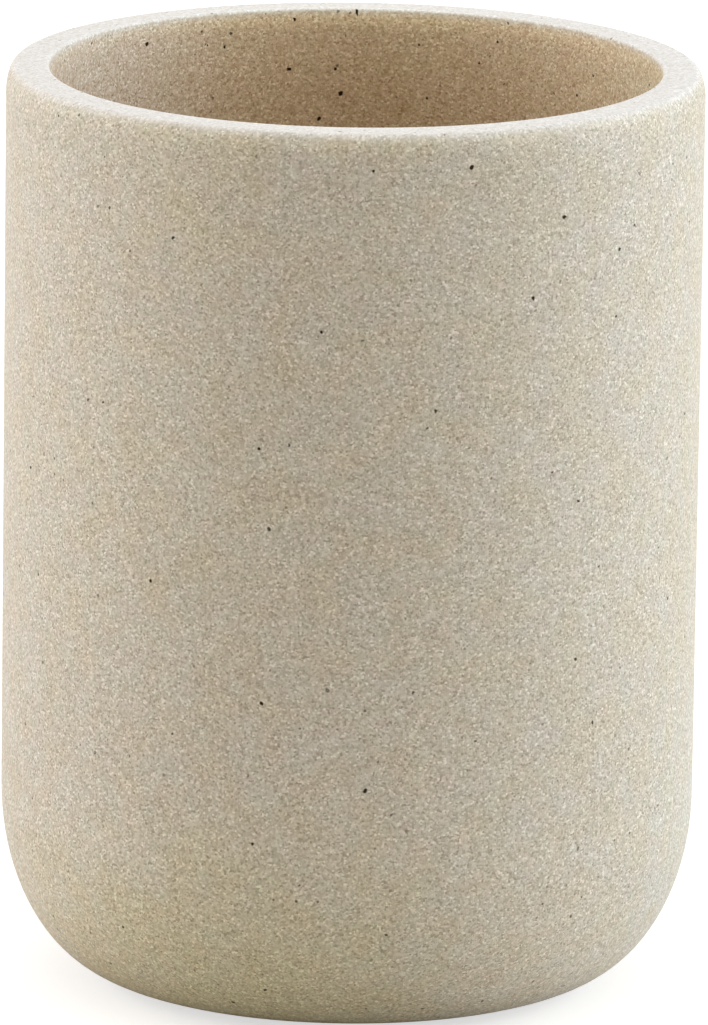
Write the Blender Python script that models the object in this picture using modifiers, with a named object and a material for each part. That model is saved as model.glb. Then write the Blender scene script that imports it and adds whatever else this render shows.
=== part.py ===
"""A plain round toothbrush holder: a tumbler cast in sand-filled resin on four stick-on bumper feet.

Units are metres and +Z is up. The origin is the middle of the footprint, on the surface that
the holder stands on, so the whole object is above z = 0 and the cup's axis is the Z axis.
"""

import math

import bpy

# The whole object
overall_height = 0.100

# The cup, one casting that is open at the top
outer_radius = 0.0375
wall_thickness = 0.0046
floor_thickness = 0.006
corner_reach = 0.0128
corner_rise = 0.020
rim_outer_reach = 0.0011
rim_outer_drop = 0.003
rim_inner_round = 0.0003

# The feet, four alike clear bumpers that are stuck into round seats in the cup's underside
foot_radius = 0.004
foot_height = 0.002
foot_proud = 0.0008
foot_edge_round = 0.0005
foot_taper = 0.0002
foot_edge_margin = 0.0042
seat_clearance = 0.0003
cut_overrun = 0.001

# How finely curves are divided
cup_steps = 96
foot_steps = 32
outer_corner_steps = 14
inner_corner_steps = 10
outer_rim_steps = 7
inner_rim_steps = 4
foot_round_steps = 4
sharp_angle = math.radians(35)
merge_distance = 0.00001

# What follows from the sizes above
inner_radius = outer_radius - wall_thickness
inner_corner_reach = corner_reach - wall_thickness
inner_corner_rise = corner_rise - floor_thickness
cup_height = overall_height - foot_proud
foot_circle_radius = outer_radius - corner_reach - foot_edge_margin - foot_radius
seat_radius = foot_radius + seat_clearance
seat_ceiling = foot_height + seat_clearance

# Each foot's name and its direction from the axis, in degrees from +X; the photograph's side is -Y
foot_directions = {
    "foot_front_left": 225,
    "foot_front_right": 315,
    "foot_back_right": 45,
    "foot_back_left": 135,
}


def clear_scene():
    """Removes the objects that a new file holds."""
    for old in list(bpy.data.objects):
        bpy.data.objects.remove(old)


def new_collection(name):
    """A collection that is linked to the scene."""
    collection = bpy.data.collections.new(name)
    bpy.context.scene.collection.children.link(collection)
    return collection


def new_material(name, colour, roughness, metallic):
    """A Principled BSDF material."""
    material = bpy.data.materials.new(name)
    material.use_nodes = True
    shader = material.node_tree.nodes["Principled BSDF"]
    shader.inputs["Base Color"].default_value = (*colour, 1)
    shader.inputs["Roughness"].default_value = roughness
    shader.inputs["Metallic"].default_value = metallic
    material.diffuse_color = (*colour, 1)
    return material


def arc(centre, reach, rise, start, end, steps):
    """Points of a quarter ellipse as (radius, height), with its start and end in degrees."""
    points = []
    for step in range(steps + 1):
        angle = math.radians(start + (end - start) * step / steps)
        radius = centre[0] + reach * math.cos(angle)
        height = centre[1] + rise * math.sin(angle)
        points.append((radius, height))
    return points


def turned_mesh(name, profile, steps):
    """A profile of (radius, height) points spun once round the Z axis, as a closed smooth mesh."""
    mesh = bpy.data.meshes.new(name)
    points = [(radius, 0, height) for radius, height in profile]
    lines = [(index, index + 1) for index in range(len(points) - 1)]
    mesh.from_pydata(points, lines, [])
    spun = bpy.data.objects.new(name, mesh)
    bpy.context.scene.collection.objects.link(spun)
    screw = spun.modifiers.new("Turn", "SCREW")
    screw.axis = "Z"
    screw.angle = math.radians(360)
    screw.steps = steps
    screw.render_steps = steps
    screw.use_merge_vertices = True
    screw.merge_threshold = merge_distance
    turned = settled_mesh(spun, name)
    bpy.data.objects.remove(spun)
    bpy.data.meshes.remove(mesh)
    turned.name = name
    return turned


def settled_mesh(thing, name):
    """A mesh of the object with its modifiers applied, shaded smooth up to the sharp angle."""
    bpy.context.view_layer.update()
    evaluated = thing.evaluated_get(bpy.context.evaluated_depsgraph_get())
    mesh = bpy.data.meshes.new_from_object(evaluated)
    mesh.name = name
    mesh.shade_smooth()
    mesh.set_sharp_from_angle(angle=sharp_angle)
    return mesh


def placed(name, mesh, material, collection, parent, location):
    """A named object of the mesh, in its collection and at its place under the parent."""
    thing = bpy.data.objects.new(name, mesh)
    collection.objects.link(thing)
    thing.parent = parent
    thing.location = location
    if material is not None and not mesh.materials:
        mesh.materials.append(material)
    return thing


def foot_place(direction, height):
    """The point on the circle of feet in that direction, at that height."""
    angle = math.radians(direction)
    return (foot_circle_radius * math.cos(angle), foot_circle_radius * math.sin(angle), height)


def cup_profile():
    """The cup's section from the middle of the inner floor, over the rim, to the middle of the underside."""
    inner_corner = (inner_radius - inner_corner_reach, floor_thickness + inner_corner_rise)
    inner_edge = (inner_radius + rim_inner_round, cup_height - rim_inner_round)
    outer_edge = (outer_radius - rim_outer_reach, cup_height - rim_outer_drop)
    outer_corner = (outer_radius - corner_reach, corner_rise)
    profile = [(0, floor_thickness)]
    profile += arc(inner_corner, inner_corner_reach, inner_corner_rise, -90, 0, inner_corner_steps)
    profile += arc(inner_edge, rim_inner_round, rim_inner_round, 180, 90, inner_rim_steps)
    profile += arc(outer_edge, rim_outer_reach, rim_outer_drop, 90, 0, outer_rim_steps)
    profile += arc(outer_corner, corner_reach, corner_rise, 0, -90, outer_corner_steps)
    profile += [(0, 0)]
    return profile


def foot_profile():
    """A foot's section from the middle of its stuck face to the middle of the face that it stands on."""
    lower_radius = foot_radius - foot_taper
    lower_edge = (lower_radius - foot_edge_round, foot_edge_round)
    profile = [(0, foot_height), (foot_radius, foot_height)]
    profile += arc(lower_edge, foot_edge_round, foot_edge_round, 0, -90, foot_round_steps)
    profile += [(0, 0)]
    return profile


def seat_cutter(name, direction, collection):
    """A hidden cylinder in the shape of one foot's seat, running out through the underside."""
    bottom = foot_proud - cut_overrun
    depth = seat_ceiling - bottom
    bpy.ops.mesh.primitive_cylinder_add(
        vertices=foot_steps,
        radius=seat_radius,
        depth=depth,
        location=foot_place(direction, bottom + depth / 2),
    )
    cutter = bpy.context.object
    cutter.name = name
    for owner in list(cutter.users_collection):
        owner.objects.unlink(cutter)
    collection.objects.link(cutter)
    cutter.hide_render = True
    cutter.display_type = "WIRE"
    return cutter


def make_cup(material, collection, cutters, parent):
    """The cast cup, raised by the height that the feet stand proud, with a seat for each foot."""
    mesh = turned_mesh("cup", cup_profile(), cup_steps)
    cup = placed("cup", mesh, material, collection, parent, (0, 0, foot_proud))
    for name, direction in foot_directions.items():
        cut = cup.modifiers.new("Seat for " + name, "BOOLEAN")
        cut.operation = "DIFFERENCE"
        cut.solver = "EXACT"
        cut.object = seat_cutter("seat_of_" + name, direction, cutters)
    whole = cup.data
    cup.data = settled_mesh(cup, "cup")
    cup.modifiers.clear()
    bpy.data.meshes.remove(whole)
    return cup


def make_feet(material, collection, parent):
    """The four feet, which share one mesh, each in its own seat."""
    mesh = turned_mesh("bumper_foot", foot_profile(), foot_steps)
    for name, direction in foot_directions.items():
        placed(name, mesh, material, collection, parent, foot_place(direction, 0))


clear_scene()
parts = new_collection("toothbrush_holder")
cutters = new_collection("cutters")
holder = bpy.data.objects.new("toothbrush_holder_origin", None)
parts.objects.link(holder)
sandstone_resin = new_material("sandstone_resin", (0.58, 0.50, 0.385), 0.85, 0)
clear_bumper = new_material("clear_bumper", (0.78, 0.79, 0.77), 0.35, 0)
make_cup(sandstone_resin, parts, cutters, holder)
make_feet(clear_bumper, parts, holder)
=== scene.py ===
"""The looks of a sandstone-coloured resin toothbrush tumbler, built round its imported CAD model."""

import math

import bmesh
import bpy
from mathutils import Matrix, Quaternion, Vector


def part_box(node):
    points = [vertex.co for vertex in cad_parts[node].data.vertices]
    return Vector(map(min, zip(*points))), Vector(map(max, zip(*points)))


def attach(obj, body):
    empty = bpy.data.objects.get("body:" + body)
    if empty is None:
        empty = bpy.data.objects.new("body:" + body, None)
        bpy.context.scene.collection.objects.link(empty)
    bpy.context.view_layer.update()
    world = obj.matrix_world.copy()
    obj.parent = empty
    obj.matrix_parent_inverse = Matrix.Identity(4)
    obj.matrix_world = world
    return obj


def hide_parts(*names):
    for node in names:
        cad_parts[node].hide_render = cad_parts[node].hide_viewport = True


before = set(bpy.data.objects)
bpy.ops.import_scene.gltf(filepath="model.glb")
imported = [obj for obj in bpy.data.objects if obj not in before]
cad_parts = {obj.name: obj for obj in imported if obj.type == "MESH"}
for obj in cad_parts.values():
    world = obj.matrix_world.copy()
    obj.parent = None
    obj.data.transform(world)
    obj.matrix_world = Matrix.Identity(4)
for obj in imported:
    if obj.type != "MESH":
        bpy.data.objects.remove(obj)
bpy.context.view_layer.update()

# Cup body
# The real piece is one casting in polyester resin filled with fine quartz sand, about 5 mm thick.
# It is poured in a mould, and its rim is then ground flat, with both edges eased by hand.
# Four round seats for the bumper feet are sunk in its flat underside.
cup_low, cup_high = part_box("cup")
underside = cup_low.z
rim_top = cup_high.z
outer_radius = cup_high.x
wall = 0.0046
floor_thickness = 0.006
corner_reach = 0.0128
corner_rise = 0.020
rim_outer_reach = 0.0011
rim_outer_drop = 0.003
rim_inner_round = 0.0003
seat_gap = 0.0003
seat_edge_round = 0.0002
ring_points = 288
corner_rings = 24
inner_corner_rings = 18
rim_rings = 8
inner_floor_rings = 2
seat_points = 64
seat_edge_rings = 3
wall_ring_gap = 0.005
near = 0.00005
level_enough = 0.9
sharp_angle = math.radians(35)
inner_radius = outer_radius - wall
inner_floor = underside + floor_thickness
inner_corner_reach = corner_reach - wall
inner_corner_rise = corner_rise - floor_thickness
foot_nodes = ["foot_front_left", "foot_front_right", "foot_back_right", "foot_back_left"]


def start_piece():
    """Nothing is selected when a new piece is added."""
    bpy.ops.object.select_all(action="DESELECT")


def pick(piece):
    """Makes the piece the one that the next operators act on."""
    start_piece()
    piece.select_set(True)
    bpy.context.view_layer.objects.active = piece


def from_axis(point, centre=(0, 0)):
    """A point's distance from an upright axis."""
    return math.hypot(point.x - centre[0], point.y - centre[1])


def select_points(piece, wanted):
    """In edit mode, selects the points that the test wants, with the edges and faces between them."""
    mesh = bmesh.from_edit_mesh(piece.data)
    for face in mesh.faces:
        face.select_set(False)
    for point in mesh.verts:
        point.select_set(wanted(point.co))
    mesh.select_flush(True)
    bmesh.update_edit_mesh(piece.data)


def select_ring(piece, radius, height, centre=(0, 0)):
    """In edit mode, selects the ring of edges at that radius and height."""
    mesh = bmesh.from_edit_mesh(piece.data)
    for face in mesh.faces:
        face.select_set(False)
    for edge in mesh.edges:
        ends = [point.co for point in edge.verts]
        level = all(abs(end.z - height) < near for end in ends)
        round_it = all(abs(from_axis(end, centre) - radius) < near for end in ends)
        edge.select_set(level and round_it)
    bmesh.update_edit_mesh(piece.data)


def select_face(piece, height, up):
    """In edit mode, selects the largest face at that height that points up or down."""
    mesh = bmesh.from_edit_mesh(piece.data)
    level = []
    for face in mesh.faces:
        face.select_set(False)
        at_height = abs(face.calc_center_median().z - height) < near
        if at_height and face.normal.z * up > level_enough:
            level.append(face)
    max(level, key=lambda face: face.calc_area()).select_set(True)
    bmesh.update_edit_mesh(piece.data)


def edit(piece, mode):
    """Starts edit mode on the piece, picking its edges or its faces."""
    pick(piece)
    bpy.ops.object.mode_set(mode="EDIT")
    bpy.ops.mesh.select_mode(type=mode)


def round_ring(piece, radius, height, amount, rings, centre=(0, 0)):
    """Rounds the sharp ring of edges at that radius and height."""
    select_ring(piece, radius, height, centre)
    bpy.ops.mesh.bevel(offset=amount, segments=rings, profile=0.5, affect="EDGES")


start_piece()
cup_height = rim_top - underside
bpy.ops.mesh.primitive_cylinder_add(
    vertices=ring_points, radius=outer_radius, depth=cup_height, location=(0, 0, underside + cup_height / 2)
)
cup = bpy.context.object
cup.name = "cup_body"
bpy.ops.object.transform_apply(location=True, rotation=True, scale=True)
edit(cup, "EDGE")

# The soft base: the lower edge is rounded and then drawn up, so that the corner is taller than it is deep
round_ring(cup, outer_radius, underside, corner_reach, corner_rings)
select_points(cup, lambda p: p.z < underside + corner_reach + near)
bpy.ops.transform.resize(value=(1, 1, corner_rise / corner_reach), center_override=(0, 0, underside))

# The rim's outer edge is eased by hand: tight at the top, and then a long soft fall
round_ring(cup, outer_radius, rim_top, rim_outer_reach, rim_rings)
select_points(cup, lambda p: p.z > rim_top - rim_outer_reach - near)
bpy.ops.transform.resize(value=(1, 1, rim_outer_drop / rim_outer_reach), center_override=(0, 0, rim_top))

# The cavity: the top face is inset to the wall and pushed down to the inner floor
bpy.ops.mesh.select_mode(type="FACE")
select_face(cup, rim_top, 1)
bpy.ops.mesh.inset(thickness=wall - rim_outer_reach)
bpy.ops.mesh.extrude_region_move(TRANSFORM_OT_translate={"value": (0, 0, inner_floor - rim_top)})
bpy.ops.mesh.select_mode(type="EDGE")
round_ring(cup, inner_radius, inner_floor, inner_corner_reach, inner_corner_rings)
corner_top = inner_floor + inner_corner_reach + near
select_points(cup, lambda p: from_axis(p) < inner_radius + near and inner_floor - near < p.z < corner_top)
bpy.ops.transform.resize(
    value=(1, 1, inner_corner_rise / inner_corner_reach), center_override=(0, 0, inner_floor)
)

# The rim's inner edge is only broken
round_ring(cup, inner_radius, rim_top, rim_inner_round, rim_rings)

# The upright walls are divided into rings
for ring in range(1, int((rim_top - underside - corner_rise) / wall_ring_gap)):
    bpy.ops.mesh.select_all(action="SELECT")
    bpy.ops.mesh.bisect(plane_co=(0, 0, underside + corner_rise + ring * wall_ring_gap), plane_no=(0, 0, 1))

# The inner floor is turned from a single face into rings round a middle
bpy.ops.mesh.select_mode(type="FACE")
for step in range(inner_floor_rings):
    select_face(cup, inner_floor, 1)
    bpy.ops.mesh.inset(thickness=(inner_radius - inner_corner_reach) / (inner_floor_rings + 1))
select_face(cup, inner_floor, 1)
bpy.ops.mesh.poke()
bpy.ops.object.mode_set(mode="OBJECT")

# The seats: a plug for each foot is cut from the underside, and the mouth of each seat is eased
start_piece()
plugs = []
seats = []
for foot_node in foot_nodes:
    low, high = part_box(foot_node)
    seat_radius = (high.x - low.x) / 2 + seat_gap
    seat_ceiling = high.z + seat_gap
    seat_centre = ((low.x + high.x) / 2, (low.y + high.y) / 2)
    seats.append(seat_centre)
    bpy.ops.mesh.primitive_cylinder_add(
        vertices=seat_points,
        radius=seat_radius,
        depth=seat_ceiling,
        location=(*seat_centre, seat_ceiling / 2),
    )
    plugs.append(bpy.context.object)
for plug in plugs:
    plug.select_set(True)
bpy.ops.object.join()
all_plugs = bpy.context.object
pick(cup)
cut = cup.modifiers.new("seats", "BOOLEAN")
cut.operation = "DIFFERENCE"
cut.solver = "EXACT"
cut.object = all_plugs
bpy.ops.object.modifier_apply(modifier="seats")
bpy.data.objects.remove(all_plugs)
edit(cup, "EDGE")
for seat_centre in seats:
    round_ring(cup, seat_radius, underside, seat_edge_round, seat_edge_rings, seat_centre)
bpy.ops.object.mode_set(mode="OBJECT")
bpy.ops.object.shade_smooth_by_angle(angle=sharp_angle)

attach(cup, "root")
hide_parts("cup")

# The finish of the cup, in real sizes: light quartz sand in a tan resin, with a few dark grains
grain_size = 0.00022
grain_tones = (0.59, 0.79, 0.99, 1.20, 1.47)
grain_tone_stops = (0.0, 0.1, 0.5, 0.9, 1.0)
brightest_tone = 2
outside_tone_shares = (0.97, 1.08, 1.30)
inside_tone_shares = (0.87, 1.22, 1.64)
calm_share = 0.55
drift_size = 0.0045
tint_size = 0.0022
cloud_low = 0.34
cloud_high = 0.66
cloud_detail = 2.0
dark_grain_spacing = 0.0019
brown_grain_spacing = 0.0016
dark_grain_radii = (0.00012, 0.00022)
brown_grain_radii = (0.00007, 0.00018)
dark_strengths = (0.6, 1.0)
brown_strengths = (0.40, 0.90)
dark_on_rim = 0.6
dark_outside_share = 0.28
dark_inside_share = 0.9
brown_inside_share = 0.5
grain_edge = 0.00005
wander_size = 0.0005
wander_reach = 0.0004
grain_roughnesses = (0.50, 0.68)
grain_relief = 0.00005
relief_strength = 0.6
ground_relief_strength = 0.15
resin_ior = 1.56
cavity_start = -0.0006
cavity_full = -0.0002
ground_depth = 0.0016
ground_sharpness = 3
tan_sand = (0.547, 0.455, 0.323)
grey_sand = (0.547, 0.470, 0.366)
rose_tint = (1.012, 0.990, 1.0)
olive_tint = (0.988, 1.010, 1.0)
# Inside the cup the colour is warmer, partly painted shade of the hollow, and greyer towards the left
inside_sand = (0.637, 0.456, 0.254)
inside_grey_sand = (0.615, 0.482, 0.338)
inside_grey_start = -0.010
inside_grey_full = -0.030
inside_share = 0.85
# The ground rim's pale colour is partly its own ground finish and partly painted light falling on it from
# above
ground_rim_and_painted_light = (0.740, 0.687, 0.625)
ground_roughness = 0.90
# A painted glow just below the rim, inside and outside: how much paler it is, how deep it reaches, and how
# much it fades towards the sides and on the rim
painted_glow_inside = (1.38, 1.47, 1.42)
painted_glow_outside = (1.12, 1.12, 1.06)
painted_glow_depth = 0.0030
painted_glow_full = 0.0003
painted_glow_loss = 0.80
painted_glow_on_rim = 0.4
dark_grain = (0.030, 0.021, 0.012)
brown_grain = (0.22, 0.155, 0.09)

# Soft patches, yellower or paler, each with its middle, its reach and its tint. The paler ones are painted
# light: light bounced up from the floor low on the sides, and a painted glow just below the rim.
patches_and_painted_light = [
    ((-0.011, -0.030, 0.0), 0.036, (0.995, 1.0, 0.80)),
    ((-0.020, -0.031, 0.058), 0.035, (1.0, 1.0, 0.96)),
    ((-0.017, -0.033, 0.096), 0.015, (1.0, 0.99, 0.91)),
    ((-0.0285, -0.0245, 0.099), 0.010, (0.95, 0.95, 0.90)),
    ((-0.030, -0.018, 0.008), 0.024, (1.08, 1.08, 1.04)),
    ((0.026, -0.026, 0.004), 0.026, (1.09, 1.10, 1.12)),
    ((0.036, -0.006, 0.017), 0.026, (1.02, 1.06, 1.10)),
    ((0.028, 0.007, 0.092), 0.015, (0.98, 1.08, 1.13)),
    ((0.008, 0.030, 0.099), 0.008, (1.07, 1.09, 1.09)),
]

# The largest dark grains: the angle round the cup, the height, the radius and how tall for its width.
# Angle 0 is the front, and 90 is on the right.
outer_marks = [
    (36, 0.0902, 0.00021, 1),
    (19, 0.0964, 0.00023, 1),
    (3, 0.0295, 0.00020, 1),
    (-14, 0.0387, 0.00021, 1),
    (3, 0.0963, 0.00018, 1),
    (-5, 0.0790, 0.00018, 1),
    (-34, 0.0504, 0.00018, 1),
    (-15, 0.0661, 0.00018, 1),
    (-57, 0.0983, 0.00018, 1),
]
inner_marks = [
    (-136, 0.0975, 0.00023, 1),
    (-173, 0.0877, 0.00023, 1),
    (-177, 0.0905, 0.00024, 1),
    (-167, 0.0933, 0.00020, 1),
    (-176, 0.0932, 0.00019, 1),
    (-168, 0.0988, 0.00017, 1),
    (-154, 0.0962, 0.00017, 1),
    (152, 0.0972, 0.00016, 1),
    (180, 0.0996, 0.00014, 3.5),
]


def new_finish(name):
    """A new material, with its nodes' tree, its shader and the object's own coordinates."""
    material = bpy.data.materials.new(name)
    material.use_nodes = True
    tree = material.node_tree
    where = tree.nodes.new("ShaderNodeTexCoord").outputs["Object"]
    return material, tree, tree.nodes["Principled BSDF"], where


def feed(tree, socket, value):
    """Joins a socket to another node's output, or sets it to a plain value."""
    if isinstance(value, bpy.types.NodeSocket):
        tree.links.new(value, socket)
    else:
        socket.default_value = value


def maths(tree, operation, first, second=0.0):
    """The result of a sum on two numbers."""
    step = tree.nodes.new("ShaderNodeMath")
    step.operation = operation
    feed(tree, step.inputs[0], first)
    feed(tree, step.inputs[1], second)
    return step.outputs[0]


def vector_maths(tree, operation, first, second):
    """The result of a sum on two vectors."""
    step = tree.nodes.new("ShaderNodeVectorMath")
    step.operation = operation
    feed(tree, step.inputs[0], first)
    feed(tree, step.inputs[1], second)
    return step.outputs["Vector"]


def length(tree, vector):
    """How long a vector is."""
    step = tree.nodes.new("ShaderNodeVectorMath")
    step.operation = "LENGTH"
    feed(tree, step.inputs[0], vector)
    return step.outputs["Value"]


def ranged(tree, value, start, end, low=0.0, high=1.0, smooth=False):
    """The value carried from start..end over to low..high, and held there beyond them."""
    step = tree.nodes.new("ShaderNodeMapRange")
    step.interpolation_type = "SMOOTHSTEP" if smooth else "LINEAR"
    feed(tree, step.inputs["Value"], value)
    feed(tree, step.inputs["From Min"], start)
    feed(tree, step.inputs["From Max"], end)
    feed(tree, step.inputs["To Min"], low)
    feed(tree, step.inputs["To Max"], high)
    return step.outputs["Result"]


def blended(tree, share, first, second, how="MIX"):
    """The first colour with a share of the second one over it."""
    step = tree.nodes.new("ShaderNodeMix")
    step.data_type = "RGBA"
    step.blend_type = how
    feed(tree, step.inputs["Factor"], share)
    feed(tree, step.inputs["A"], first if isinstance(first, bpy.types.NodeSocket) else (*first, 1))
    feed(tree, step.inputs["B"], second if isinstance(second, bpy.types.NodeSocket) else (*second, 1))
    return step.outputs["Result"]


def cells(tree, where, size):
    """For grains of that size: how far a point lies from its grain's middle, and three random numbers."""
    grains = tree.nodes.new("ShaderNodeTexVoronoi")
    grains.inputs["Scale"].default_value = 1 / size
    tree.links.new(where, grains.inputs["Vector"])
    numbers = tree.nodes.new("ShaderNodeSeparateColor")
    tree.links.new(grains.outputs["Color"], numbers.inputs["Color"])
    return grains.outputs["Distance"], numbers.outputs[0], numbers.outputs[1], numbers.outputs[2]


def clouds(tree, where, size, detail):
    """Soft noise whose features have that size."""
    noise = tree.nodes.new("ShaderNodeTexNoise")
    noise.inputs["Scale"].default_value = 1 / size
    noise.inputs["Detail"].default_value = detail
    tree.links.new(where, noise.inputs["Vector"])
    return noise


def toned(tree, shade, shares):
    """The grain's own brightness from its random number, with a share for each of red, green and blue."""
    tone = tree.nodes.new("ShaderNodeValToRGB")
    tree.links.new(shade, tone.inputs["Fac"])
    for position in grain_tone_stops[1:-1]:
        tone.color_ramp.elements.new(position)
    for stop, position, level in zip(tone.color_ramp.elements, grain_tone_stops, grain_tones):
        stop.position = position
        stop.color = (*(level ** share / brightest_tone for share in shares), 1)
    return blended(tree, 1.0, tone.outputs["Color"], (brightest_tone,) * 3, "MULTIPLY")


def scattered(tree, where, spacing, radii, share):
    """Where single grains lie, for a share of the cells, and a random number for each."""
    distance, first, second, third = cells(tree, where, spacing)
    radius = ranged(tree, first, 0.0, 1.0, *radii)
    inside = maths(tree, "SUBTRACT", radius, maths(tree, "MULTIPLY", distance, spacing))
    grain = ranged(tree, inside, -grain_edge / 2, grain_edge / 2)
    return maths(tree, "MULTIPLY", grain, maths(tree, "LESS_THAN", third, share)), second


def marked(tree, where, radius, marks):
    """Where the single grains of a list lie, on the wall of that radius."""
    found = 0.0
    for angle, height, size, tallness in marks:
        turn = math.radians(angle)
        middle = (radius * math.sin(turn), -radius * math.cos(turn), height)
        offset = vector_maths(tree, "SUBTRACT", where, middle)
        offset = vector_maths(tree, "MULTIPLY", offset, (1, 1, 1 / tallness))
        grain = ranged(tree, length(tree, offset), size + grain_edge / 2, size - grain_edge / 2)
        found = maths(tree, "MAXIMUM", grain, found)
    return found


def sandstone_finish():
    """Fine quartz sand in resin, ground at the rim. The rim is paler, partly painted light from above, a
    glow below it is painted in, and the inside is warmer, partly painted shade of the hollow.
    """
    material, tree, shader, where = new_finish("sandstone_resin")
    place = tree.nodes.new("ShaderNodeSeparateXYZ")
    tree.links.new(where, place.inputs[0])
    reach = length(tree, vector_maths(tree, "MULTIPLY", where, (1, 1, 0)))

    # Where the finish changes: in the cavity, and on the ground rim
    within = ranged(tree, reach, inner_radius + 2 * rim_inner_round, inner_radius + rim_inner_round)
    above = ranged(tree, place.outputs["Z"], inner_floor + cavity_start, inner_floor + cavity_full)
    cavity = maths(tree, "MULTIPLY", within, above)
    near_rim = ranged(tree, place.outputs["Z"], rim_top - ground_depth, rim_top)
    ground = maths(tree, "POWER", near_rim, ground_sharpness)

    # The sand: each grain has its own tone
    distance, shade, gloss, facing = cells(tree, where, grain_size)
    outside_grain = toned(tree, shade, outside_tone_shares)
    # Inside, the grains are more saturated, partly painted shade of the hollow
    sand = blended(tree, cavity, outside_grain, toned(tree, shade, inside_tone_shares))

    # The resin's colour drifts between tan and grey in soft blotches. Inside it is warmer, partly painted
    # shade standing in for the warm light bounced round the hollow, and greyer towards the left
    drift = clouds(tree, where, drift_size, cloud_detail).outputs["Fac"]
    colour = blended(tree, ranged(tree, drift, cloud_low, cloud_high), tan_sand, grey_sand)
    greyer = ranged(tree, place.outputs["X"], inside_grey_start, inside_grey_full, smooth=True)
    inside_colour = blended(tree, greyer, inside_sand, inside_grey_sand)
    colour = blended(tree, maths(tree, "MULTIPLY", cavity, inside_share), colour, inside_colour)
    # Yellower patches, and paler ones that are painted light
    for middle, size, patch_tint in patches_and_painted_light:
        gap = length(tree, vector_maths(tree, "SUBTRACT", where, middle))
        patch = ranged(tree, gap, size, 0.0, smooth=True)
        colour = blended(tree, patch, colour, blended(tree, 1.0, colour, patch_tint, "MULTIPLY"))

    # It also turns from rose to olive in small blotches, and the sand's tones lie over it
    tint = clouds(tree, where, tint_size, cloud_detail).outputs["Fac"]
    tint = blended(tree, ranged(tree, tint, cloud_low, cloud_high), rose_tint, olive_tint)
    colour = blended(tree, 1.0, colour, tint, "MULTIPLY")
    colour = blended(tree, 1.0, colour, sand, "MULTIPLY")
    # The ground rim is painted paler: partly its own finish, partly painted light from above
    calm_sand = blended(tree, calm_share, sand, (1, 1, 1))
    pale = blended(tree, 1.0, ground_rim_and_painted_light, calm_sand, "MULTIPLY")
    colour = blended(tree, ground, colour, pale)

    # A painted glow: light that soaks in at the rim and leaves again just below it is painted into the
    # colour as a paler band, strongest at the front and the back
    painted_glow_start = rim_top - painted_glow_depth
    near_edge = ranged(tree, place.outputs["Z"], painted_glow_start, rim_top - painted_glow_full, smooth=True)
    below_rim = maths(tree, "MULTIPLY", near_edge, ranged(tree, ground, 0.0, 1.0, 1.0, painted_glow_on_rim))
    from_middle = maths(tree, "ABSOLUTE", place.outputs["X"])
    sideways = ranged(tree, from_middle, 0.0, outer_radius, 1.0, 1 - painted_glow_loss)
    below_rim = maths(tree, "MULTIPLY", below_rim, sideways)
    painted_glow = blended(tree, cavity, painted_glow_outside, painted_glow_inside)
    colour = blended(tree, 1.0, colour, blended(tree, below_rim, (1, 1, 1), painted_glow), "MULTIPLY")

    # Brown grains, and dark grains of iron ore that take no white shine, of uneven shape
    wander = clouds(tree, where, wander_size, 1.0).outputs["Color"]
    shift = vector_maths(tree, "SUBTRACT", wander, (0.5, 0.5, 0.5))
    shift = vector_maths(tree, "MULTIPLY", shift, (wander_reach,) * 3)
    uneven = vector_maths(tree, "ADD", where, shift)
    brown_share = ranged(tree, cavity, 0.0, 1.0, 1.0, brown_inside_share)
    brown, brown_depth = scattered(tree, uneven, brown_grain_spacing, brown_grain_radii, brown_share)
    brown = maths(tree, "MULTIPLY", brown, ranged(tree, brown_depth, 0.0, 1.0, *brown_strengths))
    colour = blended(tree, brown, colour, brown_grain)
    dark_share = ranged(tree, cavity, 0.0, 1.0, dark_outside_share, dark_inside_share)
    dark, dark_depth = scattered(tree, uneven, dark_grain_spacing, dark_grain_radii, dark_share)
    dark = maths(tree, "MULTIPLY", dark, ranged(tree, dark_depth, 0.0, 1.0, *dark_strengths))
    dark = maths(tree, "MULTIPLY", dark, ranged(tree, ground, 0.0, 1.0, 1.0, dark_on_rim))
    dark = maths(tree, "MAXIMUM", dark, marked(tree, uneven, outer_radius, outer_marks))
    dark = maths(tree, "MAXIMUM", dark, marked(tree, uneven, inner_radius, inner_marks))
    colour = blended(tree, dark, colour, dark_grain)
    tree.links.new(colour, shader.inputs["Base Color"])
    tree.links.new(dark, shader.inputs["Metallic"])

    # Each grain stands out a little and has its own gloss, and the ground rim is flatter and more matt
    uneven_gloss = ranged(tree, gloss, 0.0, 1.0, *grain_roughnesses)
    roughness = tree.nodes.new("ShaderNodeMix")
    feed(tree, roughness.inputs["Factor"], ground)
    feed(tree, roughness.inputs["A"], uneven_gloss)
    feed(tree, roughness.inputs["B"], ground_roughness)
    tree.links.new(roughness.outputs["Result"], shader.inputs["Roughness"])
    shader.inputs["IOR"].default_value = resin_ior
    relief = maths(tree, "SUBTRACT", facing, distance)
    bump = tree.nodes.new("ShaderNodeBump")
    bump.inputs["Distance"].default_value = grain_relief
    strength = ranged(tree, ground, 0.0, 1.0, relief_strength, ground_relief_strength)
    feed(tree, bump.inputs["Strength"], strength)
    tree.links.new(relief, bump.inputs["Height"])
    tree.links.new(bump.outputs["Normal"], shader.inputs["Normal"])
    return material


stone = sandstone_finish()
cup.data.materials.append(stone)

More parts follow.
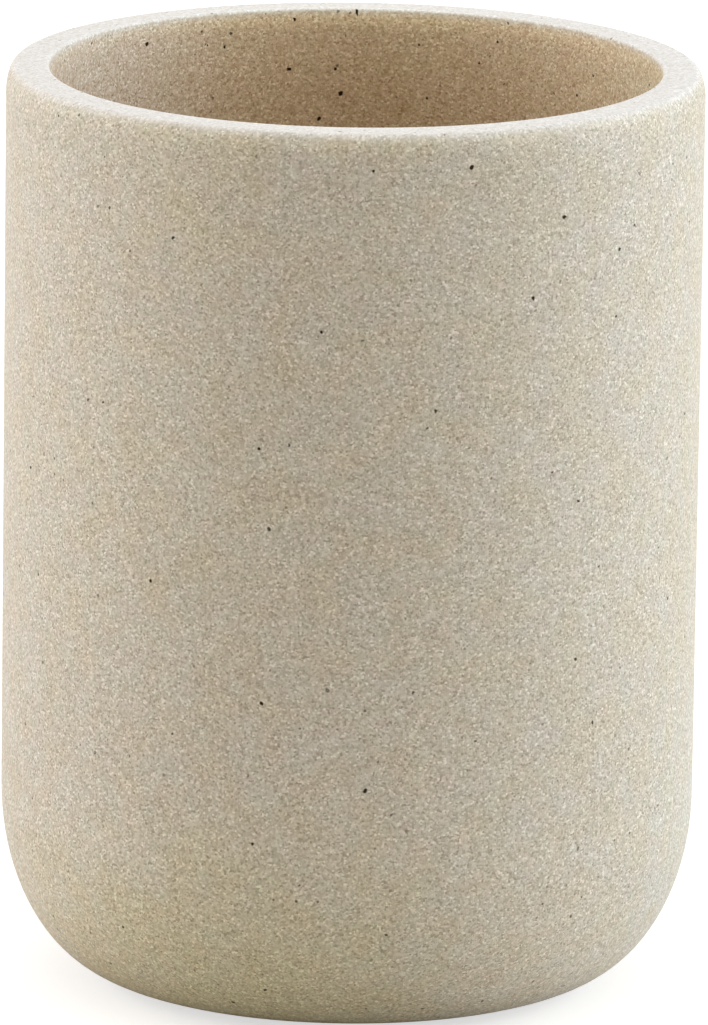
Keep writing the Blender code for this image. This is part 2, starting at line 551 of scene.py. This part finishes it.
# Bumper feet
# Each real foot is a moulded button of clear soft polyurethane with a film of adhesive on its back.
# It is pressed into its seat in the underside, and stands 0.8 mm proud of it.
foot_points = 96
foot_edge_round = 0.0005
foot_edge_rings = 8
foot_taper = 0.0002
foot_face_parts = 3
film_inset = 0.00015
film_thickness = 0.00022
clear_rubber = (0.80, 0.81, 0.79)
dusty_rubber = (0.70, 0.70, 0.66)
rubber_clearness = 0.6
rubber_ior = 1.49
dust_size = 0.0012
dust_detail = 4.0
bare_rubber = 0.42
dusty_all_over = 0.68
bloom_start = 0.3
bloom_full = 0.7
bloom_roughnesses = (0.22, 0.45)
skin_size = 0.0003
skin_relief = 0.00002
skin_strength = 0.3


def bumper_finish():
    """Clear soft plastic with a faint bloom and a little dust on it."""
    material, tree, shader, where = new_finish("clear_bumper")
    dust = clouds(tree, where, dust_size, dust_detail).outputs["Fac"]
    share = ranged(tree, dust, bare_rubber, dusty_all_over)
    tree.links.new(blended(tree, share, clear_rubber, dusty_rubber), shader.inputs["Base Color"])
    bloom = ranged(tree, dust, bloom_start, bloom_full, *bloom_roughnesses)
    tree.links.new(bloom, shader.inputs["Roughness"])
    shader.inputs["Transmission Weight"].default_value = rubber_clearness
    shader.inputs["IOR"].default_value = rubber_ior
    bump = tree.nodes.new("ShaderNodeBump")
    bump.inputs["Distance"].default_value = skin_relief
    bump.inputs["Strength"].default_value = skin_strength
    tree.links.new(clouds(tree, where, skin_size, cloud_detail).outputs["Fac"], bump.inputs["Height"])
    tree.links.new(bump.outputs["Normal"], shader.inputs["Normal"])
    return material


rubber = bumper_finish()
for foot_node in foot_nodes:
    low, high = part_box(foot_node)
    foot_radius = (high.x - low.x) / 2
    foot_height = high.z - low.z
    foot_centre = ((low.x + high.x) / 2, (low.y + high.y) / 2)
    start_piece()
    bpy.ops.mesh.primitive_cylinder_add(
        vertices=foot_points,
        radius=foot_radius,
        depth=foot_height,
        location=(*foot_centre, foot_height / 2),
    )
    foot = bpy.context.object
    foot.name = "bumper_" + foot_node
    bpy.ops.object.transform_apply(location=True, rotation=True, scale=True)
    edit(foot, "EDGE")

    # It narrows a little towards the counter, where its edge is rounded
    select_points(foot, lambda p: p.z < near)
    taper_share = 1 - foot_taper / foot_radius
    bpy.ops.transform.resize(value=(taper_share, taper_share, 1), center_override=(*foot_centre, 0))
    round_ring(foot, foot_radius * taper_share, 0, foot_edge_round, foot_edge_rings, foot_centre)

    # The adhesive film is a thin step on its back
    bpy.ops.mesh.select_mode(type="FACE")
    select_face(foot, foot_height, 1)
    bpy.ops.mesh.inset(thickness=film_inset)
    bpy.ops.mesh.extrude_region_move(TRANSFORM_OT_translate={"value": (0, 0, film_thickness)})
    for height, up in ((foot_height + film_thickness, 1), (0, -1)):
        select_face(foot, height, up)
        bpy.ops.mesh.inset(thickness=foot_radius / foot_face_parts)
        select_face(foot, height, up)
        bpy.ops.mesh.poke()
    bpy.ops.object.mode_set(mode="OBJECT")
    bpy.ops.object.shade_smooth_by_angle(angle=sharp_angle)
    foot.data.materials.append(rubber)
    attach(foot, "root")
    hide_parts(foot_node)

# Floor
# A plain pale sheet that runs far out past the picture's edges. It looks white to the camera and in
# reflections, and still takes the cup's shadow.
floor_size = 8
floor_colour = (0.62, 0.59, 0.54)
floor_roughness = 0.9
floor_lift = 0.62
cup_shade_start = 0.024
cup_shade_end = 0.040
cup_shade_middle = (-0.006, -0.012, 0)
white_start = 0.25
white_end = 0.70
start_piece()
bpy.ops.mesh.primitive_plane_add(size=floor_size, location=(0, 0, 0))
floor = bpy.context.object
floor.name = "floor"


def seen_rays(tree, mirrored_share=1.0):
    """One for the camera's rays, a share for reflected and transmitted ones, and zero for soft bounces."""
    rays = tree.nodes.new("ShaderNodeLightPath")
    mirrored = maths(tree, "MAXIMUM", rays.outputs["Is Glossy Ray"], rays.outputs["Is Transmission Ray"])
    mirrored = maths(tree, "MULTIPLY", mirrored, mirrored_share)
    return maths(tree, "MAXIMUM", rays.outputs["Is Camera Ray"], mirrored)


def floor_finish():
    """A matt pale sheet, lifted to white where it is looked at, with the cup's shade in its reflection."""
    material, tree, shader, where = new_finish("pale_floor")
    shader.inputs["Base Color"].default_value = (*floor_colour, 1)
    shader.inputs["Roughness"].default_value = floor_roughness
    shader.inputs["Specular IOR Level"].default_value = 0.0
    shader.inputs["Emission Color"].default_value = (1, 1, 1, 1)
    from_cup = length(tree, vector_maths(tree, "SUBTRACT", where, cup_shade_middle))
    clear = ranged(tree, from_cup, cup_shade_start, cup_shade_end)
    lift = maths(tree, "MULTIPLY", seen_rays(tree, clear), floor_lift)

    # Far out it is as white as the surroundings, also behind the lamps, where less light falls on it
    far_out = ranged(tree, from_cup, white_start, white_end, smooth=True)
    lift = maths(tree, "MAXIMUM", lift, maths(tree, "MULTIPLY", seen_rays(tree, 0.0), far_out))
    tree.links.new(lift, shader.inputs["Emission Strength"])
    material.cycles.emission_sampling = "NONE"
    return material


floor.data.materials.append(floor_finish())

# Studio
# White surroundings, with a large soft lamp at each side, a small one to fill the right and one above.
# All of them point at the middle of the cup, and the camera doesn't see them.
ambient = 0.42
lamp_aim = Vector((0, 0, rim_top / 2))
world = bpy.data.worlds.new("studio")
world.use_nodes = True
bpy.context.scene.world = world
world_tree = world.node_tree
background = world_tree.nodes["Background"]
background.inputs["Color"].default_value = (1, 1, 1, 1)
surroundings = ranged(world_tree, seen_rays(world_tree), 0.0, 1.0, ambient, 1.0)
world_tree.links.new(surroundings, background.inputs["Strength"])
world.cycles.sampling_method = "NONE"


def softbox(name, azimuth, elevation, distance, width, height, power, colour):
    """A soft square lamp that points at the cup. Azimuth 0 is behind the camera, 90 is on the right."""
    across = math.radians(azimuth)
    above = math.radians(elevation)
    way = Vector((math.sin(across) * math.cos(above), -math.cos(across) * math.cos(above), math.sin(above)))
    light = bpy.data.lights.new(name, "AREA")
    light.shape = "RECTANGLE"
    light.size = width
    light.size_y = height
    light.energy = power
    light.color = colour
    lamp = bpy.data.objects.new(name, light)
    bpy.context.scene.collection.objects.link(lamp)
    lamp.location = lamp_aim + way * distance
    lamp.rotation_euler = way.to_track_quat("Z", "Y").to_euler()
    lamp.visible_camera = False


white = (1, 1, 1)
softbox("left_lamp", -95, 12, 1.0, 1.2, 0.9, 11.6, (0.853, 0.901, 1.0))
softbox("right_lamp", 95, 12, 1.0, 1.2, 0.9, 14.0, (0.72, 0.85, 1.0))
softbox("right_fill", 70, 12, 1.0, 0.5, 0.9, 1.5, (0.85, 0.93, 1.0))
softbox("top_lamp", 0, 88, 1.0, 0.9, 0.9, 3.7, white)

# Camera
# It stands in front and a little above, with a long lens and the slight tilt of the photograph.
# It looks at the middle of the cup, a hair to the right of its axis.
camera_aim = Vector((0.0004, 0, 0.0509))
camera_distance = 1.3505
camera_elevation = math.radians(13.17)
camera_roll = math.radians(0.768)
camera_data = bpy.data.cameras.new("camera")
camera_data.sensor_width = 36
camera_data.lens = 439.0
camera = bpy.data.objects.new("camera", camera_data)
bpy.context.scene.collection.objects.link(camera)
back = Vector((0, -math.cos(camera_elevation), math.sin(camera_elevation)))
camera.location = camera_aim + back * camera_distance
camera.rotation_euler = (back.to_track_quat("Z", "Y") @ Quaternion((0, 0, 1), camera_roll)).to_euler()
bpy.context.scene.camera = camera
bpy.context.scene.view_settings.view_transform = "Standard"
